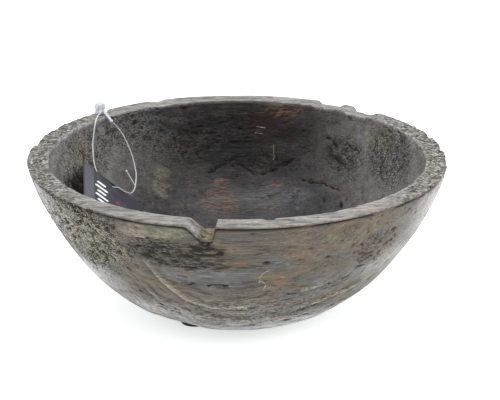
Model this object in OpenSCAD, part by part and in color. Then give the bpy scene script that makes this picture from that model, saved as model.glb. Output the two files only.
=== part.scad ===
// Hand-carved oval wooden bowl with a notched rim, standing on three stick-on feet,
// with a hang tag on a nylon loop fastener lying inside it.
// Millimetres, +Z up. The origin is on the standing surface, below the middle of the rim.
// X runs along the grain of the wood, and the notch is at the front, on the -Y side.

/* [Bowl] */
// Width of the rim along the grain
bowl_w = 283; // [280:1:290]
// Depth of the rim across the grain, as a share of its width
bowl_oval = 0.975; // [0.97:0.005:1]
// Height of the rim above the standing surface
rim_h = 108; // [106:1:112]
// Thickness of the wall at the rim
rim_t = 15; // [12:1:16]
// Width of the flat under the bowl
base_w = 106; // [96:1:108]
// Height of the inside floor above the standing surface
floor_h = 24; // [20:1:28]
// Width of the flat part of the inside floor
floor_w = 60; // [50:2:70]
// Rounding of the rim's edges
rim_edge = 2; // [1:0.5:3]

/* [Notch] */
// Depth of the notch at the outer edge of the rim
notch_depth = 9; // [5:0.5:12]
// Depth at the inner edge, as a share of the outer one
notch_inner_share = 0.72; // [0.5:0.01:1]
// Angle around the bowl where the notch starts to slope down
notch_start = 256.8; // [255:0.1:258]
// Angle that the long slope takes up
notch_slope = 4.6; // [3:0.1:5]
// Angle where the steep side comes back up to the rim
notch_end = 264.6; // [264:0.1:265.5]
// Angle that the steep side takes up
notch_steep = 0.7; // [0.6:0.1:1]

/* [Feet] */
// Diameter of a foot
foot_d = 20; // [16:1:20]
// Thickness of a foot's rubber
foot_t = 2.6; // [2:0.1:3.5]
// Thickness of the adhesive disc between foot and wood
glue_t = 0.4; // [0.2:0.1:0.6]
// Distance of the feet from the middle of the base
foot_ring = 46; // [42:1:47]
// Angle of the first foot around the base
foot_angle = 231.5; // [226:0.5:234]

/* [Tag] */
// Short side of the card
tag_w = 55; // [50:1:55]
// Long side of the card
tag_l = 85; // [70:1:85]
// Thickness of the card
tag_t = 0.6; // [0.4:0.1:0.6]
// Diameter of the punched hole
tag_hole_d = 4; // [4:0.5:5]
// Distance of the hole's middle from the card's short edge
tag_hole_edge = 4.5; // [4.5:0.5:6]

/* [Loop fastener] */
// Diameter of the nylon filament
loop_d = 0.9; // [0.7:0.1:0.9]
// Width of the locking head
head_w = 7; // [6:0.5:8]
// Thickness of the locking head
head_t = 5; // [4.5:0.5:5]
// Height of the locking head
head_h = 8.5; // [8:0.5:9]
// Diameter of the stiff plug that locks in the head
plug_d = 1.8; // [1.6:0.1:1.8]
// Diameter of the bead at the plug's end
bead_d = 2.6; // [2.2:0.2:2.8]

/* [Hidden] */

wood_colour = [0.47, 0.44, 0.38];
rubber_colour = [0.06, 0.06, 0.07];
glue_colour = [0.82, 0.81, 0.76];
card_colour = [0.28, 0.29, 0.33];
nylon_colour = [0.86, 0.89, 0.92];

// Bowl shape: each wall is a quarter of a rounded curve from its flat to the rim.
rim_r = bowl_w / 2;
base_r = base_w / 2;
base_h = foot_t + glue_t;
inner_rim_r = rim_r - rim_t;
floor_r = floor_w / 2;
outer_spread = 1.17;
outer_lift = 1.56;
inner_spread = 1.1;
inner_lift = 1.5;
outer_rings = 13;
inner_rings = 12;
column_step = 3.75;
notch_step = 0.5;
notch_zone = [notch_start - 1, notch_end + 1];
rounding_share = 0.3;

round_fn = 96;
small_fn = 24;
feet = 3;
foot_edge = 0.6;
glue_inset = 0.5;

// Tag: where its hole is, and how the card lies against the wall.
tag_hole_pos = [-87.5, 37, 70];
tag_turn = [7, 41, 10];

// Fastener: the head stands on the rim, and its inner face looks at the bowl's middle.
head_pos = [-99.7, 88.3, rim_h + 0.4];
head_angle = 138.7;
head_edge = 0.8;
socket_d = 2.2;
plug_start = [-98, 89.3, 111.6];
plug_end = [-90.6, 75.9, 106.6];
stub_start = [-80, 66, 72];
stub_end = [-73.8, 60.8, 62.8];
stub_d = 0.9;
stub_bead_d = 1.7;
bead_flat = 45;

// Middle line of the loop, from the head down the wall, behind the card, out through
// its hole, over its short edge and back up the wall to the plug.
loop_route = [
    [-99, 85.5, 110], [-100, 80.5, 110], [-100.5, 76.5, 110], [-101, 73, 109.5],
    [-101.5, 70, 108.2], [-102, 67, 105], [-102.5, 64, 101.5], [-103, 60.5, 97],
    [-103, 57, 93], [-102.5, 53, 89], [-101.5, 48.5, 84], [-99.5, 44.5, 79],
    [-97.5, 41, 74], [-93.5, 38.5, 71], [-90, 37.5, 70.5], [-87, 37, 70.2],
    [-84, 37, 69.8], [-81.5, 37.2, 68], [-79, 39.5, 65.5], [-77, 43.5, 63.5],
    [-76, 48, 61.5], [-74.5, 54, 61.2], [-73.5, 60.5, 63], [-73.3, 69, 69],
    [-75.5, 76, 77], [-78.5, 79.5, 85], [-82.5, 80.5, 94], [-86.5, 79.5, 100.5],
    [-90.6, 75.9, 106.6]
];
loop_sides = 8;
rings_per_span = 2;

// ---- Bowl ------------------------------------------------------------------

function clamp01(v) = max(0, min(1, v));

// Share of the notch's full depth at an angle around the bowl.
function notch_share(angle) = min(
    clamp01((angle - notch_start) / notch_slope),
    clamp01((notch_end - angle) / notch_steep));

// Point [radius, height] on a wall that rises from its flat (u = 0) to the rim (u = 1).
function wall_point(flat_r, flat_h, top_r, spread, lift, u) = [
    flat_r + (top_r - flat_r) * pow(sin(90 * u), spread),
    flat_h + (rim_h - flat_h) * (1 - pow(cos(90 * u), lift))];

// Where on a wall, from 0 to 1, a height is reached.
function wall_at(flat_h, lift, height) =
    acos(pow(1 - (height - flat_h) / (rim_h - flat_h), 1 / lift)) / 90;

function outer_wall(height, share) = wall_point(base_r, base_h, rim_r, outer_spread, outer_lift,
    share * wall_at(base_h, outer_lift, height));

function inner_wall(height, share) = wall_point(floor_r, floor_h, inner_rim_r, inner_spread,
    inner_lift, share * wall_at(floor_h, inner_lift, height));

// Section through the wall at an angle: up the outside, over the rim, down the inside.
function wall_section(angle) =
    let(
        outer_top = rim_h - notch_depth * notch_share(angle),
        inner_top = rim_h - notch_depth * notch_inner_share * notch_share(angle),
        outer_end = outer_wall(outer_top - rim_edge, 1),
        inner_end = inner_wall(inner_top - rim_edge, 1),
        soft = rim_edge * rounding_share)
    concat(
        [for (i = [0:outer_rings]) outer_wall(outer_top - rim_edge, i / outer_rings)],
        [
            [outer_end[0] - soft / 2, outer_top - soft],
            [outer_end[0] - rim_edge, outer_top],
            [inner_end[0] + rim_edge, inner_top],
            [inner_end[0] + soft / 2, inner_top - soft]
        ],
        [for (i = [inner_rings:-1:0]) inner_wall(inner_top - rim_edge, i / inner_rings)]);

// Closer columns through the notch, wider ones everywhere else.
column_angles = concat(
    [for (a = [0:column_step:notch_zone[0] - notch_step]) a],
    [for (a = [notch_zone[0]:notch_step:notch_zone[1]]) a],
    [for (a = [notch_zone[1] + column_step / 2:column_step:359]) a]);

module bowl() {
    columns = len(column_angles);
    rings = len(wall_section(0));
    points = [
        for (a = column_angles)
            for (p = wall_section(a)) [p[0] * cos(a), p[0] * sin(a) * bowl_oval, p[1]]];
    skin = [
        for (c = [0:columns - 1])
            for (r = [0:rings - 2])
                let(next = (c + 1) % columns)
                [c * rings + r, c * rings + r + 1, next * rings + r + 1, next * rings + r]];
    underside = [for (c = [0:columns - 1]) c * rings];
    inside_floor = [for (c = [columns - 1:-1:0]) c * rings + rings - 1];
    color(wood_colour) polyhedron(points, concat(skin, [underside], [inside_floor]));
}

// ---- Feet ------------------------------------------------------------------

module at_foot(index) {
    rotate([0, 0, foot_angle + index * 360 / feet]) translate([foot_ring, 0, 0]) children();
}

module foot(index) {
    r = foot_d / 2;
    color(rubber_colour) at_foot(index) rotate_extrude($fn = round_fn)
        polygon([[0, 0], [r - foot_edge, 0], [r, foot_edge], [r, foot_t], [0, foot_t]]);
}

module foot_glue(index) {
    color(glue_colour) at_foot(index) translate([0, 0, foot_t])
        cylinder(h = glue_t, d = foot_d - 2 * glue_inset, $fn = round_fn);
}

// ---- Tag -------------------------------------------------------------------

module tag_card() {
    color(card_colour) translate(tag_hole_pos) rotate(tag_turn) linear_extrude(tag_t)
        difference() {
            translate([-tag_w / 2, tag_hole_edge - tag_l]) square([tag_w, tag_l]);
            circle(d = tag_hole_d, $fn = round_fn);
        }
}

// ---- Loop fastener ---------------------------------------------------------

function unit(v) = v / norm(v);

// Point on the smooth curve through four neighbouring points, between the middle two.
function smooth_point(a, b, c, d, t) =
    (2 * b + (c - a) * t + (2 * a - 5 * b + 4 * c - d) * t * t
        + (3 * b - a - 3 * c + d) * t * t * t) / 2;

function smooth_route(route, steps) =
    let(last = len(route) - 1)
    concat(
        [for (i = [0:last - 1], s = [0:steps - 1])
            smooth_point(route[max(i - 1, 0)], route[i], route[i + 1],
                route[min(i + 2, last)], s / steps)],
        [route[last]]);

// Direction of the line at each of its points.
function line_directions(line) =
    let(last = len(line) - 1)
    [for (i = [0:last]) unit(line[min(i + 1, last)] - line[max(i - 1, 0)])];

// Side vector at each point, carried along so that the tube doesn't twist.
function side_vectors(directions, index, side) =
    index >= len(directions) ? [] :
    let(turned = unit(side - (side * directions[index]) * directions[index]))
    concat([turned], side_vectors(directions, index + 1, turned));

module tube(line, diameter, sides) {
    directions = line_directions(line);
    side = side_vectors(directions, 0, [0.3, 0.2, 1]);
    last = len(line) - 1;
    points = [
        for (i = [0:last])
            let(up = cross(directions[i], side[i]))
            for (k = [0:sides - 1])
                let(a = 360 * k / sides)
                line[i] + (side[i] * cos(a) + up * sin(a)) * diameter / 2];
    skin = [
        for (i = [0:last - 1])
            for (k = [0:sides - 1])
                let(next = (k + 1) % sides)
                [i * sides + next, i * sides + k, (i + 1) * sides + k, (i + 1) * sides + next]];
    start_cap = [for (k = [0:sides - 1]) k];
    end_cap = [for (k = [sides - 1:-1:0]) last * sides + k];
    polyhedron(points, concat(skin, [start_cap], [end_cap]));
}

// Puts a thing that stands up along Z at one point, aimed at the other.
module aimed(from, to) {
    along = to - from;
    translate(from)
        rotate([0, acos(along[2] / norm(along)), atan2(along[1], along[0])])
            children();
}

// Rod from one point to another, with a bead of eight flats in section at its far end.
module beaded_rod(from, to, diameter, bead) {
    length = norm(to - from);
    wide = bead / 2 * cos(bead_flat / 2);
    narrow = bead / 2 * sin(bead_flat / 2);
    aimed(from, to) rotate_extrude($fn = small_fn)
        polygon([
            [0, 0], [diameter / 2, 0], [diameter / 2, length - wide], [wide, length - narrow],
            [wide, length + narrow], [narrow, length + wide], [0, length + wide]]);
}

module loop_filament() {
    color(nylon_colour) tube(smooth_route(loop_route, rings_per_span), loop_d, loop_sides);
}

// Stands on the rim with its width along the rim, with the socket for the plug.
module loop_head() {
    color(nylon_colour) difference() {
        translate(head_pos) rotate([0, 0, head_angle])
            translate([-head_t / 2, -head_w / 2, 0]) union() {
                translate([head_edge / 2, head_edge / 2, 0])
                    cube([head_t - head_edge, head_w - head_edge, head_h]);
                translate([0, head_edge, head_edge / 2])
                    cube([head_t, head_w - 2 * head_edge, head_h - head_edge]);
            }
        aimed(plug_start, plug_end)
            cylinder(h = norm(plug_end - plug_start), d = socket_d, $fn = small_fn);
    }
}

module loop_plug() {
    color(nylon_colour) beaded_rod(plug_start, plug_end, plug_d, bead_d);
}

// Short leftover of filament with a bead, lying beside the bottom of the loop.
module loop_stub() {
    color(nylon_colour) beaded_rod(stub_end, stub_start, stub_d, stub_bead_d);
}

bowl();
foot(0);  // foot_front
foot(1);  // foot_right
foot(2);  // foot_back
foot_glue(0);  // foot_glue_front
foot_glue(1);  // foot_glue_right
foot_glue(2);  // foot_glue_back
tag_card();
loop_filament();
loop_head();
loop_plug();
loop_stub();
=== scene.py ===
"""Looks of a hand-carved wooden bowl with a hang tag in it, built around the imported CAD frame.

The bowl is remade as one dense closed skin: the CAD's own smooth shape, cut by carving marks,
growth-ring ridges, end-grain pits, chips and the notch. All sizes here are in millimetres
until they become Blender coordinates, which are metres in the frame of the CAD model.
The grain of the wood runs along X, and the notch is at the front, on the -Y side.
"""
import math

import bpy
import numpy as np
from mathutils import Matrix, Vector


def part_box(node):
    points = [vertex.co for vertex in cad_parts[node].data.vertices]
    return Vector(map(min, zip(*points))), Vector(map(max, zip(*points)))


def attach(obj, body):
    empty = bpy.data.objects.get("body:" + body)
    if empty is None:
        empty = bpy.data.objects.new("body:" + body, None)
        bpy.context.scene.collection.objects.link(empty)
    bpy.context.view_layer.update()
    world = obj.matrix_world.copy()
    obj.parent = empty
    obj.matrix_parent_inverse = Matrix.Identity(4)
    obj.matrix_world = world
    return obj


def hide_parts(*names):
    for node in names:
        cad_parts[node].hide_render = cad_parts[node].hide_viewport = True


MM = 0.001
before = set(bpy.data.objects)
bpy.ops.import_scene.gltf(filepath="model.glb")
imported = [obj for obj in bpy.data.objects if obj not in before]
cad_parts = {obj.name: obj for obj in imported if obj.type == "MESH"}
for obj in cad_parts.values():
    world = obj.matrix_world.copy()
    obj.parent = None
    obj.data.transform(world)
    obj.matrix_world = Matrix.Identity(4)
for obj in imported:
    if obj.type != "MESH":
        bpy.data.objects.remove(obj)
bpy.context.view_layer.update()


def node_box(name):
    """Lowest and highest corner of a CAD node, in millimetres."""
    low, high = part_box(name)
    return np.array(low) / MM, np.array(high) / MM


def new_object(name, data):
    """An object in the scene that holds the data."""
    made = bpy.data.objects.new(name, data)
    bpy.context.scene.collection.objects.link(made)
    return made


# ---- Camera ----

VIEW_DISTANCE = 1.1
VIEW_ELEVATION = math.radians(21.4)
VIEW_LENS = 115.1
VIEW_SHIFT = (0.0256, 0.0552)
VIEW_NEAREST = 0.05


def make_camera():
    target = Vector((0, 0, node_box("bowl")[1][2] / 2 * MM))
    away = Vector((0, -math.cos(VIEW_ELEVATION), math.sin(VIEW_ELEVATION)))
    data = bpy.data.cameras.new("camera")
    data.lens = VIEW_LENS
    data.shift_x, data.shift_y = VIEW_SHIFT
    data.clip_start = VIEW_NEAREST
    camera = new_object("camera", data)
    camera.location = target + away * VIEW_DISTANCE
    camera.rotation_euler = (-away).to_track_quat("-Z", "Y").to_euler()
    bpy.context.scene.camera = camera


# ---- The nylon loop: a free cord, laid as in the CAD ----

LOOP_DIAMETER = 0.9
LOOP_STEPS = 6
LOOP_BEVEL_STEPS = 5
LOOP_ROUTE = [
    (-99, 85.5, 110), (-100, 80.5, 110), (-100.5, 76.5, 110), (-101, 73, 109.5),
    (-101.5, 70, 108.2), (-102, 67, 105), (-102.5, 64, 101.5), (-103, 60.5, 97),
    (-103, 57, 93), (-102.5, 53, 89), (-101.5, 48.5, 84), (-99.5, 44.5, 79),
    (-97.5, 41, 74), (-93.5, 38.5, 71), (-90, 37.5, 70.5), (-87, 37, 70.2),
    (-84, 37, 69.8), (-81.5, 37.2, 68), (-79, 39.5, 65.5), (-77, 43.5, 63.5),
    (-76, 48, 61.5), (-74.5, 54, 61.2), (-73.5, 60.5, 63), (-73.3, 69, 69),
    (-75.5, 76, 77), (-78.5, 79.5, 85), (-82.5, 80.5, 94), (-86.5, 79.5, 100.5),
    (-90.6, 75.9, 106.6)]


def smooth_route(route, steps):
    """Points on the smooth curve through the route's points."""
    route = [np.array(p, float) for p in route]
    last = len(route) - 1
    line = []
    for i in range(last):
        a, b, c, d = route[max(i - 1, 0)], route[i], route[i + 1], route[min(i + 2, last)]
        for step in range(steps):
            t = step / steps
            line.append((2 * b + (c - a) * t + (2 * a - 5 * b + 4 * c - d) * t ** 2
                         + (3 * b - a - 3 * c + d) * t ** 3) / 2)
    line.append(route[last])
    return np.array(line)


def make_loop(line):
    curve = bpy.data.curves.new("loop_nylon", "CURVE")
    curve.dimensions = "3D"
    curve.bevel_depth = LOOP_DIAMETER / 2 * MM
    curve.bevel_resolution = LOOP_BEVEL_STEPS
    curve.use_fill_caps = True
    spline = curve.splines.new("POLY")
    spline.points.add(len(line) - 1)
    for point, place in zip(spline.points, line):
        point.co = (*(place * MM), 1)
    return new_object("loop_nylon", curve)


# ---- Noise ----

LATTICE = 32
LATTICE_SHIFT = LATTICE * 8
TINY = 1e-9


def blend01(low, high, value):
    """0 below low, 1 above high, smooth between."""
    t = np.clip((value - low) / (high - low), 0, 1)
    return t * t * (3 - 2 * t)


def noise(points, size, seed):
    """Smooth noise from -1 to 1, with features about size mm long (one number or one per axis)."""
    table = np.random.default_rng(seed).uniform(-1, 1, (LATTICE,) * 3)
    scaled = points / np.asarray(size, float) + LATTICE_SHIFT
    cell = np.floor(scaled).astype(int)
    part = scaled - cell
    part = part * part * (3 - 2 * part)
    total = np.zeros(points.shape[:-1])
    for corner in np.ndindex(2, 2, 2):
        weight = np.ones(points.shape[:-1])
        for axis, side in enumerate(corner):
            weight = weight * (part[..., axis] if side else 1 - part[..., axis])
        i, j, k = ((cell[..., axis] + corner[axis]) % LATTICE for axis in range(3))
        total += weight * table[i, j, k]
    return total


def fractal(points, size, seed, octaves=3):
    """Noise with finer detail added at each octave."""
    size = np.asarray(size, float)
    total = 0
    for octave in range(octaves):
        total = total + noise(points, size / 2 ** octave, seed + octave) / 2 ** octave
    return total / (2 - 2 ** (1 - octaves))


def spot(points, centre, radii, soft=0.5):
    """1 inside an egg shape round centre, fading to 0 at its edge."""
    reach = np.linalg.norm((points - np.array(centre)) / np.array(radii), axis=-1)
    return 1 - blend01(1 - soft, 1, reach)


# ---- Bowl: the smooth shape, as the CAD has it ----

BOWL_LOW, BOWL_HIGH = node_box("bowl")
RIM_H = BOWL_HIGH[2]
BASE_H = BOWL_LOW[2]
BOX_MARGIN = 0.02
RIM_R = 141.5
OVAL = 0.975
RIM_T = 15
BASE_R = 53
FLOOR_H = 24
FLOOR_R = 30
RIM_EDGE = 1.1
OUTER_SPREAD, OUTER_LIFT = 1.17, 1.56
INNER_SPREAD, INNER_LIFT = 1.1, 1.5
NOTCH_DEPTH = 9
NOTCH_INNER_SHARE = 0.72
NOTCH_START, NOTCH_SLOPE = 256.8, 4.6
NOTCH_END, NOTCH_STEEP = 264.8, 1.2
NOTCH_ROUNDING = 0.8

FRONT_STEP, BACK_STEP, NOTCH_STEP = 0.46, 0.6, 0.17
RIM_ROWS, CENTRE_ROWS = 22, 16
OUTER_ROWS, INNER_ROWS = (118, 20), (102, 18)
STEADY_H = 92


def notch_share(angle):
    """Share of the notch's full depth at angles, in degrees, around the bowl."""
    slope = np.clip((angle - NOTCH_START) / NOTCH_SLOPE, 0, 1)
    steep = np.clip((NOTCH_END - angle) / NOTCH_STEEP, 0, 1)
    straight = np.minimum(slope, steep)
    return NOTCH_ROUNDING * blend01(0, 1, straight) + (1 - NOTCH_ROUNDING) * straight


def wall_rise(flat, top, spread, lift, height, rows):
    """Radius and height of a wall from its flat up to height, as the CAD's wall_point. The
    rows are the same all round the bowl up to STEADY_H, and follow the notch above it."""
    flat_r, flat_h = flat
    steady, end = (np.arccos((1 - (h - flat_h) / (RIM_H - flat_h)) ** (1 / lift))
                   for h in (STEADY_H, height))
    turn = np.concatenate([np.linspace(0, steady, rows[0], endpoint=False),
                           np.linspace(steady, end, rows[1])])
    radius = flat_r + (top - flat_r) * np.sin(turn) ** spread
    rise = flat_h + (RIM_H - flat_h) * (1 - np.cos(turn) ** lift)
    return radius, rise


def rim_bridge(outer, inner, outer_top, inner_top):
    """Radius and height across the rim, with both edges rounded."""
    across = np.linspace(0, 1, RIM_ROWS + 2)[1:-1]
    width = outer[0] - inner[0]
    radius = outer[0] - width * across
    from_edge = np.minimum(across, 1 - across) * width / RIM_EDGE
    rounding = 1 - np.sqrt(1 - (1 - np.clip(from_edge, 0, 1)) ** 2)
    height = outer_top + (inner_top - outer_top) * across - RIM_EDGE * rounding
    return radius, height


def bowl_sections():
    """The bowl's smooth points, [row, column, xyz], from the underside's middle to the
    floor's middle, with each column's angle and each row's part of the section."""
    angles = np.concatenate([
        np.arange(0, 180, BACK_STEP), np.arange(180, NOTCH_START - 1, FRONT_STEP),
        np.arange(NOTCH_START - 1, NOTCH_END + 1, NOTCH_STEP),
        np.arange(NOTCH_END + 1, 360 - FRONT_STEP / 2, FRONT_STEP)])
    out = np.linspace(0, 1, CENTRE_ROWS + 1)[1:-1]
    columns = []
    for angle, share in zip(np.radians(angles), notch_share(angles)):
        outer_top = RIM_H - NOTCH_DEPTH * share
        inner_top = RIM_H - NOTCH_DEPTH * NOTCH_INNER_SHARE * share
        outer_r, outer_z = wall_rise((BASE_R, BASE_H), RIM_R, OUTER_SPREAD, OUTER_LIFT,
                                     outer_top - RIM_EDGE, OUTER_ROWS)
        inner_r, inner_z = wall_rise((FLOOR_R, FLOOR_H), RIM_R - RIM_T, INNER_SPREAD,
                                     INNER_LIFT, inner_top - RIM_EDGE, INNER_ROWS)
        rim_r, rim_z = rim_bridge((outer_r[-1], outer_z[-1]), (inner_r[-1], inner_z[-1]),
                                  outer_top, inner_top)
        radius = np.concatenate([BASE_R * out, outer_r, rim_r, inner_r[::-1],
                                 FLOOR_R * out[::-1]])
        height = np.concatenate([BASE_H + 0 * out, outer_z, rim_z, inner_z[::-1],
                                 FLOOR_H + 0 * out])
        columns.append(np.stack([radius * math.cos(angle),
                                 radius * math.sin(angle) * OVAL, height], axis=-1))
    sizes = [len(out), sum(OUTER_ROWS), RIM_ROWS, sum(INNER_ROWS), len(out)]
    part = np.repeat(np.arange(5), sizes)
    return np.stack(columns, axis=1), angles, part


def grid_normals(points):
    """Unit normals of the [row, column] grid, pointing out of the wood."""
    along = np.gradient(points, axis=0)
    around = np.roll(points, -1, axis=1) - np.roll(points, 1, axis=1)
    normal = np.cross(around, along)
    return normal / np.maximum(np.linalg.norm(normal, axis=-1, keepdims=True), TINY)


# ---- Bowl: what the carver, the wood and the years did ----

# The tree's middle runs along X inside the bowl, at this [y, z]; past the bend, on the
# right, the grain swings round.
PITH = (10, 93)
GRAIN_BEND, GRAIN_SWING = 20, 0.55
FINE_RING_STEP = 3.1

# Zones of marks: side of the wall, softness of the edge, and middle and reach of each place.
# Those after the wall slots are only coloured.
OUT, IN = 0, 1
ZONES = {
    "end_grain": (OUT, 0.55, [((-98, -82, 84), (46, 66, 40)), ((-116, -20, 74), (40, 80, 38)),
        ((-96, 80, 76), (50, 66, 40)), ((118, 30, 76), (40, 90, 40))]),
    "slots": (OUT, 0.55, [((-44, -122, 85), (36, 26, 14)), ((-22, -126, 84), (24, 24, 15)),
        ((30, 118, 80), (60, 30, 16))]),
    "light": (OUT, 0.55, [((88, -95, 79), (24, 26, 17)), ((-40, 90, 50), (60, 40, 24))]),
    "wall": (IN, 0.55, [((-74, 92, 96), (40, 40, 20)), ((-30, 106, 86), (60, 26, 20)),
        ((-104, 30, 90), (26, 70, 24)), ((20, 98, 68), (40, 22, 9)),
        ((-20, -80, 60), (70, 60, 50))]),
    "wall_slots": (IN, 0.55, [((77, 80, 80), (20, 26, 15)), ((107, 45, 90), (22, 46, 26))]),
    "low_front": (OUT, 1, [((10, -92, 34), (115, 60, 26))]),
    "front_crumbs": (OUT, 1, [((6, -104, 42), (50, 40, 17)), ((62, -90, 42), (50, 40, 18))]),
    "wall_crumbs": (IN, 1, [((-60, 92, 78), (60, 50, 32)), ((90, 62, 84), (40, 50, 30))])}
# Pits of each zone: strength, whether they slant, size, seed, and the noise that opens them.
PITS = {
    "end_grain": (1.3, True, (5, 2, 2), 61, 0.0, 0.24),
    "slots": (0.9, False, (10, 1.9, 1.4), 62, 0.08, 0.24),
    "light": (0.8, False, (7, 2.4, 2.4), 63, 0.12, 0.4),
    "wall": (0.8, False, (3.6, 2.2, 2.2), 64, 0.2, 0.4),
    "wall_slots": (0.8, True, (7, 2.2, 2), 65, 0.18, 0.38),
    "rim_ends": (0.7, False, (4, 2.4, 2.4), 66, 0.14, 0.4),
    "walls": (0.6, False, (9, 2.4, 2.4), 67, 0.4, 0.62)}
PIT_SLANT = np.array([[0.83, 0, 0.56], [0, 1, 0], [-0.56, 0, 0.83]])
# Finer marks that the material adds, with how strongly each zone takes them.
FINE_MARKS = {
    "pitted": {"end_grain": 1, "light": 0.5, "wall": 0.55, "wall_slots": 0.45, "rim_ends": 0.6,
               "low_front": 0.36},
    "slotted": {"slots": 1, "wall_slots": 0.5},
    # glint_flecked: pale flecks painted as highlights on the edges between pits.
    "glint_flecked": {"end_grain": 1, "rim_ends": 0.5, "front_crumbs": 0.6, "wall_crumbs": 0.25}}

# Lines drawn on the bowl, each through a few points: cracks and slots, then ridges of hard
# growth rings, then chalky scratches and curls.
CRACKS = [
    [(-42, -108, 63), (-30, -114, 60.6), (-18, -117, 60.6), (-6, -118, 61.4)],
    [(48, 82, 60), (56, 77, 59), (62, 73, 61), (68, 67, 59.5), (74, 62, 60)],
    [(-20, 94, 62), (-2, 103, 69)], [(1, 100, 66), (13, 94, 60)], [(19, 93, 60), (41, 95, 71)],
    [(65, 93, 89), (72, 87, 84)], [(66, 88, 82), (68, 85, 77)], [(70, 84, 78), (79, 77, 71)],
    [(79, 82, 87), (88, 75, 83)], [(84, 72, 76), (77, 80, 81)],
    [(96, 66, 96), (93, 60, 82)], [(104, 54, 94), (99, 48, 78)], [(110, 42, 92), (104, 36, 76)],
    [(34, -90, 30), (50, -87, 34), (66, -82, 40)], [(20, -82, 22), (44, -77, 25), (70, -66, 31)],
    [(30, -108, 50), (52, -102, 53), (70, -94, 57)], [(76, -96, 62), (88, -89, 66)],
    [(-10, -80, 19), (16, -82, 20)], [(-62, -90, 46), (-50, -88, 36), (-34, -86, 28)]]
RIDGES = [
    [(-56, -114, 77), (-46, -110, 60), (-31, -104, 46), (-16, -104, 41), (6, -106, 42)],
    [(-66, -99, 60), (-50, -95, 43), (-30, -94, 34), (8, -92, 29), (34, -90, 29)],
    [(-74, -86, 54), (-56, -84, 36), (-36, -82, 25), (0, -80, 20)],
    [(40, -107, 54), (62, -98, 58), (84, -87, 64), (104, -73, 75)],
    [(48, -92, 38), (74, -80, 46), (96, -64, 58)]]
SCRATCHES = [
    [(19, -124, 73.6), (15.5, -123, 72.2), (13.9, -121.5, 67.6), (13.6, -119.8, 64)],
    [(13.6, -119.8, 64), (15.2, -120, 65.2), (17, -119.5, 63.4), (17.7, -118, 60.6),
     (16.7, -117, 57.9)],
    [(27, 106, 78), (27, 100, 70)], [(15, 113, 91), (20, 112, 90.6)],
    [(14, 113, 86), (18, 112, 85.8)]]
# Knots and gouges: middle and reach of each.
KNOTS = [((-17.5, -130, 95), (2, 10, 3.4)), ((18, -127, 80), (4.2, 14, 1.9)),
         ((112, -66, 87), (2, 8, 2.6)), ((56, -115, 80), (3, 12, 1.5)),
         ((-75, 95, 99), (2.6, 8, 2)), ((-46, 104, 84), (2.6, 8, 2)), ((2, 115, 88), (3, 8, 1.8)),
         ((50, 66, 52), (2, 6, 3.4)), ((62, 60, 52), (2, 6, 3)), ((74, 50, 52), (2, 6, 3.2))]
CRACK_REACH, RIDGE_REACH, SCRATCH_REACH = 3, 7, 2.5
# How far from the surface a line may be drawn, and how far past its ends it fades out.
LINE_DEPTH, LINE_END = 4, 1.4

# How deep or high each kind of mark is, and how far down the rim's wear reaches.
PIT_DEPTH, CRACK_DEPTH, FURROW_DEPTH = 0.9, 0.9, 0.3
RIDGE_HEIGHT, RIDGE_FOOT_DEPTH, UNDERCUT_DEPTH = 1.5, 0.7, 0.7
RIM_WEAR_REACH, LIP_REACH = 12, 3
# A facet over the front foot, and a dent in the outer edge of the back rim: middle and reach.
FOOT_FACET, FACET_DEPTH = ((-38, -56, 7), (26, 20, 11)), 1.4
RIM_DENT, RIM_DENT_DEPTH = ((-39, 117.5, 107), (4.5, 4.5, 4.5)), 1.8


def ring_distance(points):
    """Distance from the tree's middle, with the rings' waves and the swing of the grain."""
    y, z = points[..., 1] - PITH[0], points[..., 2] - PITH[1]
    waves = 2.2 * noise(points, (90, 60, 60), 31) + 0.7 * noise(points, (30, 14, 14), 32)
    return np.hypot(y, z) + GRAIN_SWING * np.maximum(points[..., 0] - GRAIN_BEND, 0) + waves


def drawn(points, normal, lines, reach):
    """Distance across the nearest line, positive on its lower side when it is drawn from left
    to right, and a closeness of 1 at the line that falls to 0 at reach and past its ends."""
    across, closest = np.zeros(points.shape[:-1]), np.full(points.shape[:-1], float(reach))
    closeness = np.zeros(points.shape[:-1])
    for line in lines:
        for start, end in zip(line, line[1:]):
            along = np.array(end, float) - start
            length = np.linalg.norm(along)
            offset = points - start
            share = offset @ along / length ** 2
            beyond = length * np.maximum(np.maximum(-share, share - 1), 0)
            lower = np.cross(along, normal)
            lower /= np.maximum(np.linalg.norm(lower, axis=-1, keepdims=True), TINY)
            gap = (offset * lower).sum(axis=-1)
            depth = (offset * normal).sum(axis=-1)
            away = np.hypot(gap, beyond)
            nearer = (away < closest) & (np.abs(depth) < reach + LINE_DEPTH)
            across = np.where(nearer, gap, across)
            closest = np.where(nearer, away, closest)
            fade = blend01(reach, reach * 0.4, away) * blend01(LINE_END, 0.2, beyond)
            closeness = np.where(nearer, fade, closeness)
    return across, closeness


def zone(points, places, soft):
    """1 inside any of the places, fading to 0 at their edges."""
    return np.maximum.reduce([spot(points, middle, reach, soft) for middle, reach in places])


def gaps(field, within, low, high):
    """Hollows where a noise field passes a level, which drops as the zone gets stronger."""
    return blend01(low, high, field + 0.35 * (within - 1)) * blend01(0, 0.25, within)


class Skin:
    """The bowl's smooth points, and where on the bowl each of them lies."""

    def __init__(self):
        self.base, angles, part = bowl_sections()
        self.normal = grid_normals(self.base)
        self.x, self.y, self.z = (self.base[..., axis] for axis in range(3))
        self.turn = np.broadcast_to(angles, self.x.shape)
        self.across = np.hypot(self.x, self.y / OVAL)
        part = np.broadcast_to(part[:, None], self.x.shape)
        self.wall = {OUT: np.where(part <= 1, 1.0, 0.0), IN: np.where(part >= 3, 1.0, 0.0)}
        self.on_rim = np.where(part == 2, 1.0, 0.0)
        self.ends = blend01(0.55, 0.92, np.abs(self.x) / RIM_R)
        self.end_grain = blend01(0.45, 0.85, np.abs(self.normal[..., 0]))


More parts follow.
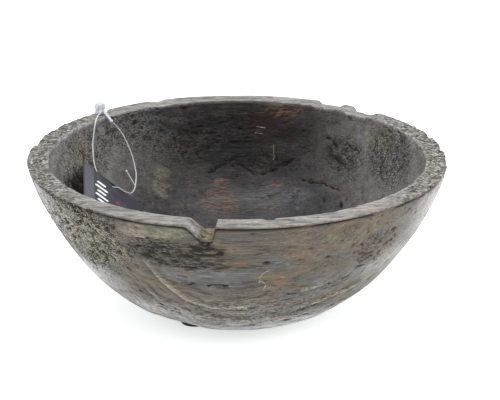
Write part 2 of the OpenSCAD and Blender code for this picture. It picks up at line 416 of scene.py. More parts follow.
def carver_strokes(skin):
    """Soft hollows of the carver's tools, longer along the grain and finer inside."""
    base = skin.base
    outer = 0.7 * fractal(base, (60, 34, 34), 1, 2) + 0.4 * fractal(base, (22, 12, 12), 3, 2)
    inner = 0.5 * fractal(base, (40, 30, 26), 5, 2) + 0.4 * noise(base, (16, 9, 9), 7)
    height = skin.wall[OUT] * (outer - 0.3) + skin.wall[IN] * (inner - 0.45)
    return height - FACET_DEPTH * skin.wall[OUT] * spot(base, *FOOT_FACET, 0.8), {}


def ring_ridges(skin):
    """Hard growth rings, which stand up low on the flanks where the block was rounded off."""
    gap, near = drawn(skin.base, skin.normal, RIDGES, RIDGE_REACH)
    near = skin.wall[OUT] * near * blend01(-0.6, 0.1, noise(skin.base, (16, 12, 12), 41))
    ridge = near * blend01(3.2, 0.3, np.abs(gap))
    # A groove at each ridge's foot, which wood_hollows also paints dark as the shade below the
    # ridge.
    foot = near * spot(gap[..., None], (2.9,), (2.4,), 0.9)
    flank = skin.wall[OUT] * blend01(0.75, 0.5, skin.z / RIM_H) * (1 - 0.85 * skin.end_grain)
    return RIDGE_HEIGHT * ridge - RIDGE_FOOT_DEPTH * foot, {
        "ridge": ridge, "ridge_foot_shade": foot, "flank": flank, "rings": ring_distance(skin.base)}


def furrows(skin):
    """Furrows of weathered long grain."""
    furrow = blend01(0.05, 0.6, fractal(skin.base, (50, 2.6, 2.6), 51, 2))
    furrow = furrow * (1 - skin.end_grain) * (skin.wall[OUT] + 0.4 * skin.wall[IN])
    return -FURROW_DEPTH * furrow, {"furrow": furrow}


def pits_and_knots(skin):
    """Pits, slots and knots: open end grain, worm-eaten bands, and tool bites inside."""
    within = {name: skin.wall[side] * zone(skin.base, places, soft)
              for name, (side, soft, places) in ZONES.items()}
    within["rim_ends"] = skin.on_rim * skin.ends
    within["walls"] = skin.wall[OUT] + skin.wall[IN]
    slanted = skin.base @ PIT_SLANT
    pit = np.maximum.reduce([
        strength * gaps(fractal(slanted if slants else skin.base, size, seed, 2), within[name],
                        low, high)
        for name, (strength, slants, size, seed, low, high) in PITS.items()])
    height = -PIT_DEPTH * pit
    for middle, reach in KNOTS:
        knot = spot(skin.base, middle, reach, 0.7) * (1 - skin.on_rim)
        height -= PIT_DEPTH * knot
        pit = np.maximum(pit, knot)
    marks = {mark: np.maximum.reduce([share * within[name] for name, share in shares.items()])
             for mark, shares in FINE_MARKS.items()}
    return height, {"pit": np.minimum(pit, 1), **marks}


def cracks_and_scratches(skin):
    """Cracks are cut into the wood, and chalky scratches are only coloured."""
    crack_gap, crack_near = drawn(skin.base, skin.normal, CRACKS, CRACK_REACH)
    crack_near = crack_near * (1 - skin.on_rim)
    scratch_gap, scratch_near = drawn(skin.base, skin.normal, SCRATCHES, SCRATCH_REACH)
    return -CRACK_DEPTH * crack_near * blend01(1.8, 0.4, np.abs(crack_gap)), {
        "crack_gap": crack_gap, "crack_near": crack_near,
        "scratch_gap": scratch_gap, "scratch_near": scratch_near}


def rim_wear(skin):
    """Smooth long grain at the rim's front and back, ragged end grain at its sides, a painted
    highlight along the inner edge, and a thin undercut line just below the outer edge, darkened as
    painted shade."""
    base, z, on_rim = skin.base, skin.z, skin.on_rim
    near_rim = blend01(RIM_H - RIM_WEAR_REACH, RIM_H - 1, z) * (1 - on_rim)
    rag = 0.8 * fractal(base, (5, 5, 5), 81, 3) + 0.6 * noise(base, (13, 13, 8), 84)
    height = np.maximum(on_rim, near_rim) * skin.ends * (rag - 0.3)
    height += on_rim * (0.3 * fractal(base, (24, 5, 5), 85, 2) - 0.2)

    # The undercut below the outer edge; wood_hollows also paints it dark as the shade under the
    # rim's edge.
    below = RIM_H - NOTCH_DEPTH * notch_share(skin.turn) - z
    band = blend01(3.6, 2.5, below) * blend01(1.2, 2.0, below)
    broken = noise(base, (15, 15, 9), 91) + 0.1 + 0.6 * blend01(64, 40, skin.x)
    under_rim = skin.wall[OUT] * band * blend01(-0.35, 0.15, broken) * blend01(30, -40, skin.y)

    # A painted highlight along the rim's inner edge, where the rounded lip catches the light.
    lip_highlight = blend01(RIM_R - RIM_T + 2.8, RIM_R - RIM_T + 1.2, skin.across)
    lip_highlight = lip_highlight * (on_rim + skin.wall[IN]) * (0.35 + 0.65 * skin.ends)
    return height - UNDERCUT_DEPTH * under_rim, {
        "under_rim": under_rim, "lip_highlight": lip_highlight * blend01(RIM_H - LIP_REACH, RIM_H - 1.2, z),
        "ragged": skin.ends, "rim": on_rim * blend01(0.35, 0.7, skin.normal[..., 2]),
        "notch": on_rim * blend01(0.75, 0.98, notch_share(skin.turn))}


def carve_bowl():
    """The bowl's detailed points, with the masks that its colours need."""
    skin = Skin()
    height = np.zeros(skin.x.shape)
    # side: the inner walls grow paler towards the ends, partly the wood's tone and partly painted
    # light on the better lit side walls.
    masks = {"inside": skin.wall[IN], "side": blend01(48, 120, np.abs(skin.x))}
    for carve in (carver_strokes, ring_ridges, furrows, pits_and_knots, cracks_and_scratches,
                  rim_wear):
        change, marks = carve(skin)
        height += change
        masks.update(marks)
    masks.update(stain_masks(skin))
    points = skin.base + skin.normal * height[..., None]
    points[..., 2] -= rim_losses(skin)
    points[..., 1] -= RIM_DENT_DEPTH * spot(skin.base, *RIM_DENT, 0.8)
    # It stays in the CAD bowl's own box, with its underside at the feet's top.
    np.clip(points, BOWL_LOW + BOX_MARGIN, BOWL_HIGH - BOX_MARGIN, out=points)
    return points, masks


# Chips of the rim: start and end angle, depth, and the share of it at the inner edge. The slope
# at each end of a chip is as wide as CHIP_EDGE, in degrees.
CHIP_EDGE = 0.9
CHIPS = [
    (42.5, 52, 3.2, 0.5), (55.5, 64, 2.2, 0.5), (132.5, 136, 1.8, 0.3), (167, 172, 1.8, 0.6),
    (3, 8, 1.6, 0.6), (14.5, 19, 1.4, 0.5), (186, 190, 1.5, 0.4), (199, 202, 1.2, 0.4),
    (350, 354, 1.4, 0.4), (330, 333, 0.8, 0.3), (113, 118, 0.9, 0.5), (226, 229, 0.7, 0.3)]
# Nicks in the rim's edges: middle, reach and depth.
NICKS = [((19.5, -121, 108), (5, 5, 6), 2.2), ((44, -112, 108), (4, 4, 6), 1.0),
         ((58, -108, 108), (5, 4, 6), 0.9), ((71, -100, 108), (4, 4, 6), 1.2),
         ((104, -86, 106), (4, 4, 6), 1.3), ((-96, -95, 107), (4, 5, 6), 0.9)]


def rim_losses(skin):
    """How far the rim is worn down by chips, nicks and the rough floor of the notch."""
    rough_floor = 0.5 + fractal(skin.base, 3.4, 95, 2)
    drop = 0.9 * notch_share(skin.turn) * blend01(88, 100, skin.z) * rough_floor
    outward = blend01(RIM_R - RIM_T + 3, RIM_R - 4, skin.across)
    for start, end, depth, whole in CHIPS:
        along = (blend01(start, start + CHIP_EDGE, skin.turn)
                 * (1 - blend01(end - CHIP_EDGE, end, skin.turn)))
        reach = whole + (1 - whole) * outward
        drop += depth * along * reach * blend01(RIM_H - depth * 3.2, RIM_H - 1, skin.z)
    for middle, reach, depth in NICKS:
        drop += depth * spot(skin.base, middle, reach, 0.9)
    return drop


# Stains, with painted sheen and a painted shadow among them: name, side of the wall, and middle,
# reach and strength of each patch. Noise breaks them up, but only shades soot and sheen; flaky
# ones stay in thin flakes.
SOOT_AND_SHEEN, FLAKY = ("soot", "painted_sheen"), ("rust", "ember")
STAIN_SEED, STAIN_OCTAVES = 200, 4
PATCHES = [
    ("ochre", OUT, [((-54, -124, 101), (40, 30, 11), 1.0)]),
    ("olive", OUT, [((-54, -124, 101), (42, 30, 12), 0.9)]),
    ("ochre", OUT, [((66, -112, 95), (56, 50, 20), 1.0), ((30, -128, 96), (26, 24, 14), 0.6),
        ((4, -110, 49), (26, 26, 11), 1.0), ((-20, 118, 84), (80, 60, 24), 0.9),
        ((-110, 50, 80), (50, 60, 30), 0.6)]),
    ("olive", OUT, [((-96, -84, 82), (50, 66, 34), 1.0), ((-22, -104, 44), (16, 24, 7), 0.9),
        ((80, 96, 70), (50, 50, 34), 0.7)]),
    ("rust", OUT, [((2, -128, 80), (17, 24, 4), 0.9), ((27, -117, 65), (8, 20, 9), 1.0),
        ((-8, -96, 31), (24, 24, 8), 0.8), ((44, -118, 84), (34, 34, 16), 0.5),
        ((-42, -106, 54), (12, 30, 8), 0.7), ((-70, 100, 60), (50, 40, 20), 0.6)]),
    ("soot", OUT, [((-34, -122, 86), (38, 26, 15), 0.3)]),
    ("slate", OUT, [((-18, -118, 66), (50, 34, 15), 1.0), ((24, -124, 78), (26, 30, 8), 0.7),
        ((66, -96, 58), (50, 40, 14), 0.8), ((-10, 110, 56), (90, 50, 16), 0.8)]),
    # painted_sheen: pale patches painted on the flanks for the white surroundings reflected at
    # grazing angles, and low down for light thrown up from the floor.
    ("painted_sheen", OUT, [((-96, -58, 48), (46, 56, 24), 1.4), ((-50, -82, 28), (60, 44, 18), 1.2),
        ((128, -44, 88), (34, 70, 50), 0.85), ((96, -70, 60), (40, 50, 22), 0.7),
        ((-120, -60, 84), (30, 60, 50), 1.1), ((0, -92, 34), (90, 50, 26), 0.35),
        ((20, -72, 17), (120, 60, 18), 1.4), ((0, 70, 24), (110, 50, 16), 0.6)]),
    ("rust", IN, [((-14, 79, 48), (26, 26, 18), 1.0), ((27, 86, 55), (12, 14, 7), 0.9),
        ((23, 73, 43), (12, 14, 6), 0.9), ((72, 60, 58), (10, 14, 6), 0.7),
        ((-50, 98, 84), (10, 14, 8), 0.6)]),
    ("soot", IN, [((0, 100, 86), (96, 60, 48), 1.6)]),
    # brown_stain_and_tag_shadow: first a dark brown stain under the back rim, then the painted
    # shadow that the tag casts on the inner wall beside its left edge.
    ("brown_stain_and_tag_shadow", IN, [((22, 112, 90), (32, 24, 24), 1.3), ((-108, 6, 78), (18, 52, 24), 1.5)]),
    ("ember", IN, [((-11, 89, 55), (9, 12, 6), 0.7), ((-3, 75, 42), (10, 12, 6), 0.7),
        ((-44, 100, 78), (11, 12, 6), 0.5), ((36, 115, 101), (34, 16, 8), 0.6)]),
    ("ember", OUT, [((27, -117, 64), (9, 16, 7), 0.9), ((18, -104, 48), (14, 18, 8), 0.7)]),
    ("rust", IN, [((30, 118, 103), (30, 16, 6), 1.0)]),
    ("olive", IN, [((30, 118, 104), (9, 14, 5), 0.9), ((-55, 76, 60), (11, 24, 20), 0.6),
        ((-112, 40, 92), (16, 40, 20), 0.8), ((100, 66, 98), (24, 34, 16), 0.7)]),
    ("slate", IN, [((-40, 96, 90), (60, 40, 26), 0.5), ((30, 75, 48), (50, 30, 14), 0.7),
        ((88, 56, 70), (12, 14, 6), 1.0)])]


def stain_masks(skin):
    """How much of each stain, painted sheen and painted shadow lies on each point."""
    masks = {name: np.zeros(skin.x.shape) for name in STAINS}
    patches = [(name, side, *patch) for name, side, places in PATCHES for patch in places]
    for index, (name, side, middle, reach, strength) in enumerate(patches):
        cloud = fractal(skin.base, (14, 5, 4), STAIN_SEED + index * STAIN_OCTAVES, STAIN_OCTAVES)
        patch = spot(skin.base, middle, reach, 1.0)
        if name in SOOT_AND_SHEEN:
            patch = patch * (1 + 0.5 * cloud) * strength
        else:
            patch = blend01(0.2, 0.8, patch + 0.9 * cloud) * blend01(0.02, 0.4, patch) * strength
        masks[name] = np.maximum(masks[name], patch * skin.wall[side])
    return masks


def grid_mesh(name, points, masks):
    """Closed mesh of a [row, column] grid that runs from pole to pole, with its masks."""
    rows, columns = points.shape[:2]
    vertices = np.concatenate([
        points.reshape(-1, 3), points[0].mean(axis=0)[None], points[-1].mean(axis=0)[None]])
    first_pole, last_pole = rows * columns, rows * columns + 1
    index = np.arange(rows * columns).reshape(rows, columns)
    after = np.roll(index, -1, axis=1)
    quads = np.stack([index[:-1], after[:-1], after[1:], index[1:]], axis=-1).reshape(-1, 4)
    faces = [tuple(q) for q in quads.tolist()]
    faces += [(first_pole, b, a) for a, b in zip(index[0].tolist(), after[0].tolist())]
    faces += [(last_pole, a, b) for a, b in zip(index[-1].tolist(), after[-1].tolist())]
    mesh = bpy.data.meshes.new(name)
    mesh.from_pydata((vertices * MM).tolist(), [], faces)
    for key, value in masks.items():
        flat = np.concatenate([value.ravel(), [value[0].mean(), value[-1].mean()]])
        layer = mesh.attributes.new(key, "FLOAT", "POINT")
        layer.data.foreach_set("value", flat.astype(np.float32))
    mesh.polygons.foreach_set("use_smooth", np.ones(len(faces), bool))
    mesh.update()
    return new_object(name, mesh)


# ---- Material nodes ----


def srgb(*values):
    """Linear colour from sRGB values of 0 to 255."""
    return tuple(((v / 255 + 0.055) / 1.055) ** 2.4 for v in values) + (1,)


class Finish:
    """A material, with short ways to add its nodes. Sizes are in millimetres."""

    def __init__(self, name):
        self.material = bpy.data.materials.new(name)
        self.material.use_nodes = True
        self.nodes = self.material.node_tree.nodes
        self.shader = self.nodes["Principled BSDF"]

    def feed(self, socket, value):
        if isinstance(value, bpy.types.NodeSocket):
            self.material.node_tree.links.new(value, socket)
        elif value is not None:
            socket.default_value = value

    def set(self, **inputs):
        """Feeds the shader's inputs, such as Base_Color, with a socket or a plain value."""
        for name, value in inputs.items():
            self.feed(self.shader.inputs[name.replace("_", " ")], value)

    def add(self, kind, *inputs, output=0, **settings):
        node = self.nodes.new("ShaderNode" + kind)
        for key, value in settings.items():
            setattr(node, key, value)
        for socket, value in zip(node.inputs, inputs):
            self.feed(socket, value)
        return node.outputs[output]

    def mask(self, name):
        """A number kept in the mesh's vertices."""
        return self.add("Attribute", attribute_name=name, output=2)

    def math(self, operation, *inputs):
        return self.add("Math", *inputs, operation=operation)

    def times(self, *inputs):
        return self.math("MULTIPLY", *inputs)

    def place(self, size, seed=0):
        """Object coordinates in units of size, one number or one for each axis."""
        size = np.broadcast_to(np.asarray(size, float), 3)
        here = self.add("TexCoord", output=3)
        scaled = self.add("VectorMath", here, tuple(1 / (size * MM)), operation="MULTIPLY")
        return self.add("VectorMath", scaled, (seed * 7.31, seed * 3.77, seed * 5.13))

    def texture(self, kind, size, seed):
        raw = self.nodes.new("ShaderNodeTex" + kind)
        raw.inputs["Scale"].default_value = 1
        self.feed(raw.inputs["Vector"], self.place(size, seed))
        return raw

    def noise(self, size, seed, low=0.3, high=0.7, detail=3):
        """Noise that runs from 0 to 1 as the raw noise goes from low to high."""
        raw = self.texture("Noise", size, seed)
        raw.inputs["Detail"].default_value = detail
        return self.span(raw.outputs["Fac"], low, high)

    def crowded(self, size, seed, mask):
        """Small sharp marks, which crowd closer as the mask gets stronger."""
        density = self.times(self.mask(mask), 0.12)
        field = self.math("ADD", self.noise(size, seed, 0, 1, 2), density)
        return self.times(self.span(field, 0.6, 0.64), self.span(self.mask(mask), 0, 0.2))

    def cells(self, size, seed, low, high):
        """Dots: 1 in the middle of each cell, falling to 0."""
        return self.span(self.texture("Voronoi", size, seed).outputs["Distance"], low, high, 1, 0)

    def span(self, value, low, high, to_low=0, to_high=1):
        return self.add("MapRange", value, low, high, to_low, to_high)

    def shade(self, colour, light):
        """The colour made lighter or darker by a number."""
        grey = self.add("CombineColor", light, light, light)
        return self.mix(1, colour, grey, "MULTIPLY")

    def mix(self, factor, first, second, blend="MIX"):
        skipped = [None] * 5
        return self.add("Mix", factor, *skipped, first, second, output=2, data_type="RGBA",
                        blend_type=blend)

    def bump(self, height, depth, under=None):
        """Normal from a height of 0 to 1 that is depth mm deep."""
        node = self.nodes.new("ShaderNodeBump")
        node.inputs["Distance"].default_value = depth * MM
        self.feed(node.inputs["Height"], height)
        self.feed(node.inputs["Normal"], under)
        return node.outputs[0]


# ---- Materials ----

OUTER_BROWN = srgb(99, 87, 69)
OUTER_GREY = srgb(86, 84, 78)
INNER_CHARCOAL = srgb(50, 49, 52)
INNER_BROWN = srgb(68, 62, 58)
INNER_SIDE_TONE_AND_LIGHT = srgb(136, 132, 129)
RIM_PALE = srgb(163, 160, 156)
RIM_PINK = srgb(168, 159, 152)
RIM_ROUGH = srgb(192, 190, 184)
RIM_GRIME = srgb(104, 101, 92)
LIP_HIGHLIGHT = srgb(196, 195, 190)
NOTCH_FRESH = srgb(148, 140, 112)
NOTCH_GRIME = srgb(80, 70, 50)
PIT_DARK = srgb(20, 18, 17)
FLECK_GLINT = srgb(186, 179, 158)
RIDGE_PALE = srgb(168, 160, 144)
CHALK = srgb(190, 188, 180)
WOOD_SHINE, WAX_ROUGHNESS = 0.16, 0.36
STAINS = {
    "ochre": srgb(106, 93, 71), "rust": srgb(112, 85, 66), "slate": srgb(101, 101, 103),
    # painted_sheen is a painted reflection and painted floor light, not a stain.
    "olive": srgb(142, 136, 114), "painted_sheen": srgb(167, 166, 163), "soot": srgb(30, 28, 28),
    # brown_stain_and_tag_shadow is a dark brown stain, and also the tag's painted shadow.
    "brown_stain_and_tag_shadow": srgb(38, 25, 20), "ember": srgb(132, 98, 70)}


def wood_colour(wood):
    """Base colour of the bowl before any pits and lines: weathered wood with its stains."""
    grime = wood.noise((4, 1.6, 1.6), 4, 0.42, 0.6)
    blotch = wood.noise((26, 12, 10), 3, 0.4, 0.6)
    outer = wood.mix(blotch, OUTER_BROWN, OUTER_GREY)
    inner = wood.mix(blotch, INNER_CHARCOAL, INNER_BROWN)
    # Paler towards the ends: partly the wood's tone, partly painted light on the better lit side
    # walls.
    inner = wood.mix(wood.mask("side"), inner, INNER_SIDE_TONE_AND_LIGHT)
    chatter = wood.span(wood.noise((3.2, 26, 26), 21), 0, 1, 0.76, 1.2)
    inner = wood.shade(inner, chatter)
    colour = wood.mix(wood.mask("inside"), outer, inner)
    broken = wood.span(wood.noise((7, 2, 2), 12, 0.36, 0.6), 0, 1, 0.3, 1)
    flaky = wood.noise((6, 1.8, 1.8), 25, 0.42, 0.58)
    for name, stain in STAINS.items():
        cover = flaky if name in FLAKY else broken
        colour = wood.mix(wood.times(wood.mask(name), cover), colour, stain)
    colour = wood.mix(wood.times(wood.mask("ridge"), 0.8), colour, RIDGE_PALE)

    smooth_rim = wood.mix(wood.noise((22, 2.4, 2.4), 5, 0.45, 0.7), RIM_PALE, RIM_PINK)
    smooth_rim = wood.mix(wood.noise((11, 4, 4), 24, 0.5, 0.72), smooth_rim, RIM_GRIME)
    rough_rim = wood.mix(wood.noise(2.4, 13, 0.4, 0.6), RIM_ROUGH, RIM_GRIME)
    rim = wood.mix(wood.mask("ragged"), smooth_rim, rough_rim)
    rim = wood.mix(wood.mask("notch"), rim, wood.mix(grime, NOTCH_FRESH, NOTCH_GRIME))
    colour = wood.mix(wood.mask("rim"), colour, rim)
    # Painted highlight along the rim's inner edge.
    colour = wood.mix(wood.times(wood.mask("lip_highlight"), 0.7), colour, LIP_HIGHLIGHT)

    # Long fibres along the grain, but a fine mottling where the end grain shows.
    fibre = wood.noise((34, 0.9, 0.9), 1, 0.36, 0.64, 4)
    streak = wood.noise((70, 3.4, 3.4), 2, 0.36, 0.64)
    mottle = wood.noise(1.5, 14, 0.36, 0.64)
    long_grain = wood.span(wood.math("ADD", fibre, streak), 0, 2)
    light = wood.span(wood.mix(wood.mask("ragged"), long_grain, mottle), 0, 1, 0.58, 1.36)
    return wood.shade(colour, light)


def line_mark(wood, name, half_width, wobble):
    """A thin line of the given kind: 1 in its middle, falling to 0 at its uneven edges."""
    shift = wood.span(wood.noise(4, 15), 0, 1, -wobble, wobble)
    gap = wood.math("ABSOLUTE", wood.math("ADD", wood.mask(name + "_gap"), shift))
    line = wood.span(gap, half_width * 0.4, half_width * 1.3, 1, 0)
    near = wood.span(wood.mask(name + "_near"), 0.3, 0.7)
    return wood.times(line, near)


def wood_hollows(wood):
    """Where the wood is dark and sunken: 1 in the deepest pits, slots and cracks, with painted
    shade in the undercut below the rim and below the ridges.
    """
    pores = wood.times(wood.cells((7, 0.8, 0.8), 6, 0.12, 0.32),
                       wood.noise((18, 6, 6), 7, 0.45, 0.6))
    splits = wood.times(wood.noise((11, 0.75, 0.75), 16, 0.52, 0.6, 2),
                        wood.noise((24, 7, 7), 17, 0.42, 0.6))
    fine_pits = wood.crowded((2.4, 1, 1), 10, "pitted")
    turns = wood.times(wood.mask("rings"), 2 * math.pi / FINE_RING_STEP)
    waves = wood.span(wood.noise((16, 7, 7), 18, 0, 1), 0, 1, 0, 6)
    turns = wood.math("ADD", turns, waves)
    ring_lines = wood.span(wood.math("SINE", turns), 0.15, 0.8)
    ring_lines = wood.times(ring_lines, wood.mask("flank"))
    ring_lines = wood.times(ring_lines, wood.noise((13, 3, 3), 19, 0.4, 0.56))
    slots = wood.crowded((7, 0.8, 0.8), 22, "slotted")
    cracks = wood.times(line_mark(wood, "crack", 0.75, 1.1), wood.noise(5, 23, 0.36, 0.46))
    hollows = wood.mask("pit")
    for marks, strength in (
            (pores, 0.5), (splits, 0.65), (fine_pits, 0.8), (slots, 0.8), (ring_lines, 0.65),
            (wood.noise((4, 1.6, 1.6), 4, 0.42, 0.6), 0.25),
            (wood.noise((2.6, 1.1, 1.1), 9, 0.5, 0.62, 2), 0.35),
            # ridge_foot_shade: painted shade below each ridge.
            (wood.mask("furrow"), 0.35), (wood.mask("ridge_foot_shade"), 0.5),
            # under_rim: painted shade in the undercut below the rim's outer edge.
            (wood.mask("under_rim"), 0.9), (cracks, 0.95)):
        hollows = wood.math("MAXIMUM", hollows, wood.times(marks, strength))
    return hollows


def carved_wood():
    wood = Finish("carved_wood")
    hollows = wood_hollows(wood)
    colour = wood.mix(hollows, wood_colour(wood), PIT_DARK)
    # Pale flecks: painted highlights glinting on the edges between the pits.
    glint_flecks = wood.times(wood.noise((2.4, 0.9, 0.9), 20, 0.56, 0.62, 2), wood.mask("glint_flecked"))
    colour = wood.mix(wood.times(glint_flecks, 0.55), colour, FLECK_GLINT)
    chalk = wood.times(line_mark(wood, "scratch", 0.28, 0.25),
                       wood.span(wood.noise(3, 26, 0.4, 0.6), 0, 1, 0.2, 0.6))
    colour = wood.mix(chalk, colour, CHALK)

    fibre = wood.noise((34, 0.9, 0.9), 1, 0.36, 0.64, 4)
    dull = wood.math("MAXIMUM", hollows, wood.times(wood.mask("rim"), 0.75))
    rough = wood.math("MAXIMUM", wood.span(fibre, 0, 1, 0.34, 0.5), wood.times(dull, 0.85))
    normal = wood.bump(fibre, 0.2)
    normal = wood.bump(hollows, -0.5, normal)
    normal = wood.bump(wood.noise(0.5, 8, detail=2), 0.07, normal)

    # Old wax, thickest under the painted sheen, and none in hollows or on soot.
    wax = wood.math("ADD", wood.times(wood.mask("painted_sheen"), 0.6), 0.4)
    bare = wood.math("MAXIMUM", wood.mask("soot"), dull)
    wood.set(Base_Color=colour, Roughness=rough, Normal=normal, Specular_IOR_Level=WOOD_SHINE,
             Coat_Weight=wood.times(wax, wood.span(bare, 0, 1, 1, 0)),
             Coat_Roughness=WAX_ROUGHNESS)
    return wood.material


def foot_rubber():
    rubber = Finish("foot_rubber")
    dust = rubber.noise(2.5, 11, 0.4, 0.75)
    rubber.set(Base_Color=rubber.mix(rubber.times(dust, 0.3), srgb(26, 26, 28),
                                     srgb(88, 86, 84)),
               Roughness=rubber.span(dust, 0, 1, 0.5, 0.8),
               Normal=rubber.bump(rubber.noise(0.5, 12), 0.06))
    return rubber.material


def foot_adhesive():
    foam = Finish("foot_adhesive")
    bubbles = foam.cells(0.5, 13, 0.1, 0.5)
    foam.set(Base_Color=foam.mix(bubbles, srgb(214, 211, 200), srgb(176, 171, 158)),
             Roughness=foam.span(bubbles, 0, 1, 0.7, 0.9), Normal=foam.bump(bubbles, -0.08))
    return foam.material


def printed_card(name, ink, worn):
    """Satin card in one ink, with rubbed spots of another."""
    card = Finish(name)
    rub = card.noise(6, 21, 0.45, 0.8)
    pulp = card.noise(0.35, 22)
    scuffs = card.noise((0.6, 9, 9), 23, 0.62, 0.75)
    colour = card.mix(card.times(rub, 0.35), ink, worn)
    colour = card.mix(card.times(scuffs, 0.25), colour, worn)
    card.set(Base_Color=colour, Roughness=card.span(rub, 0, 1, 0.34, 0.5),
             Normal=card.bump(pulp, 0.02))
    return card.material


def clear_nylon():
    nylon = Finish("nylon")
    haze = nylon.noise(2.2, 31, 0.3, 0.7)
    nylon.set(Base_Color=nylon.mix(haze, srgb(236, 239, 242), srgb(216, 220, 225)),
              Roughness=nylon.span(haze, 0, 1, 0.2, 0.34),
              Normal=nylon.bump(nylon.noise(1.6, 32), 0.012),
              Transmission_Weight=0.3, IOR=1.5)
    return nylon.material


# ---- Turned, cut and stacked pieces ----

SHARP_ANGLE = math.radians(38)


def add_piece(name, vertices, faces, material):
    """A closed mesh piece from vertices in millimetres, smooth but for its sharp edges."""
    mesh = bpy.data.meshes.new(name)
    mesh.from_pydata([tuple(Vector(v) * MM) for v in vertices], [], faces)
    mesh.polygons.foreach_set("use_smooth", [True] * len(faces))
    mesh.set_sharp_from_angle(angle=SHARP_ANGLE)
    mesh.materials.append(material)
    return new_object(name, mesh)


def ring_faces(rows, columns):
    """Faces of stacked rings of points, closed at both ends."""
    faces = []
    for row in range(rows - 1):
        for column in range(columns):
            after = (column + 1) % columns
            faces.append((row * columns + column, row * columns + after,
                          (row + 1) * columns + after, (row + 1) * columns + column))
    faces.append(tuple(range(columns - 1, -1, -1)))
    faces.append(tuple((rows - 1) * columns + column for column in range(columns)))
    return faces


def turned(name, profile, start, end, material, sides=40):
    """A piece turned round the line from start towards end, from [radius, distance] points."""
    turn = (Vector(end) - Vector(start)).to_track_quat("Z", "X").to_matrix()
    vertices = []
    for radius, along in profile:
        for column in range(sides):
            angle = 2 * math.pi * column / sides
            local = Vector((radius * math.cos(angle), radius * math.sin(angle), along))
            vertices.append(Vector(start) + turn @ local)
    return add_piece(name, vertices, ring_faces(len(profile), sides), material)


def rounded_outline(width, length, corner, steps=6):
    """Points round a rectangle with round corners, centred on the origin."""
    points = []
    for quarter, (sx, sy) in enumerate(((1, 1), (-1, 1), (-1, -1), (1, -1))):
        for step in range(steps + 1):
            angle = math.pi / 2 * (quarter + step / steps)
            points.append((sx * (width / 2 - corner) + corner * math.cos(angle),
                           sy * (length / 2 - corner) + corner * math.sin(angle)))
    return points


def circle_outline(diameter, steps=32):
    angles = [2 * math.pi * step / steps for step in range(steps)]
    return [(diameter / 2 * math.cos(a), diameter / 2 * math.sin(a)) for a in angles]


def printed(name, outlines, place, low, high, material):
    """Flat closed marks between two heights in the frame of place, one for each outline."""
    vertices, faces = [], []
    for outline in outlines:
        first = len(vertices)
        for height in (low, high):
            vertices += [place @ Vector((x, y, height)) for x, y in outline]
        faces += [tuple(first + index for index in face)
                  for face in ring_faces(2, len(outline))]
    return add_piece(name, vertices, faces, material)


# ---- Feet ----

FEET = ["front", "right", "back"]
FOOT_EDGE, FOOT_DISH = 0.6, 0.35
FOOT_GROOVES, GROOVE_DEPTH, GROOVE_HALF = 3, 0.18, 0.15
PAD_EDGE = 0.08


def make_foot(name, rubber):
    low, high = node_box("foot_" + name)
    middle = (low + high) / 2
    radius, top = (high[0] - low[0]) / 2, high[2]
    profile = [(radius * 0.35, FOOT_DISH), (radius * 0.42, 0), (radius - FOOT_EDGE, 0),
               (radius - 0.25, 0.1), (radius - 0.05, FOOT_EDGE)]
    for groove in range(FOOT_GROOVES):
        start = FOOT_EDGE + (top - FOOT_EDGE) * (groove + 0.35) / FOOT_GROOVES
        profile += [(radius, start - GROOVE_HALF), (radius - GROOVE_DEPTH, start),
                    (radius, start + GROOVE_HALF)]
    profile += [(radius - 0.05, top - 0.1), (radius - 0.3, top), (radius * 0.5, top)]
    foot = turned("foot_" + name + "_rubber", profile, (middle[0], middle[1], 0),
                  (middle[0], middle[1], 1), rubber)
    ride_for(foot, "bowl_body", "foot_rubber", "foot_" + name)


def make_pad(name, foam):
    low, high = node_box("foot_glue_" + name)
    middle = (low + high) / 2
    radius, thick = (high[0] - low[0]) / 2, high[2] - low[2]
    profile = [(radius * 0.5, 0), (radius - PAD_EDGE, 0), (radius, thick * 0.3),
               (radius - 0.06, thick * 0.5), (radius, thick * 0.7),
               (radius - PAD_EDGE, thick), (radius * 0.5, thick)]
    pad = turned("foot_" + name + "_pad", profile, (middle[0], middle[1], low[2]),
                 (middle[0], middle[1], high[2]), foam)
    ride_for(pad, "bowl_body", "foot_adhesive", "foot_glue_" + name)


def make_feet():
    rubber, foam = foot_rubber(), foot_adhesive()
    for name in FEET:
        make_foot(name, rubber)
        make_pad(name, foam)


def ride_for(piece, body, slot, *nodes):
    """Puts a finished piece on its body, in place of its CAD nodes."""
    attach(piece, body)
    if nodes:
        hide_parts(*nodes)


# ---- Tag ----

TAG_HOLE = (-87.5, 37, 70)
TAG_TURN = (7, 41, 10)
TAG_SIZE = (55, 85)
TAG_THICK = 0.6
TAG_HOLE_EDGE = 4.5
TAG_INK_LIFT = 0.05
TAG_WORN_EDGE, TAG_WELD = 0.1, 0.01
BAND_SIDE, BAND_WIDTH = -26.6, 8.4
BAR_COUNT, BAR_PITCH, BAR_START = 5, 7.0, -11
BAR_SIZE = (11, 3.4)
BAR_MIDDLE, BAR_SLANT = -11.5, 0.45
DOT_PLACE, DOT_SIZE = (2.9, -22.5), 4


def tag_place():
    turn = Matrix.Identity(3)
    for axis, angle in zip("XYZ", TAG_TURN):
        turn = Matrix.Rotation(math.radians(angle), 3, axis) @ turn
    return Matrix.Translation(TAG_HOLE) @ turn.to_4x4()


def shifted(outline, across, along, slant=0.0):
    return [(x + across + slant * y, y + along) for x, y in outline]


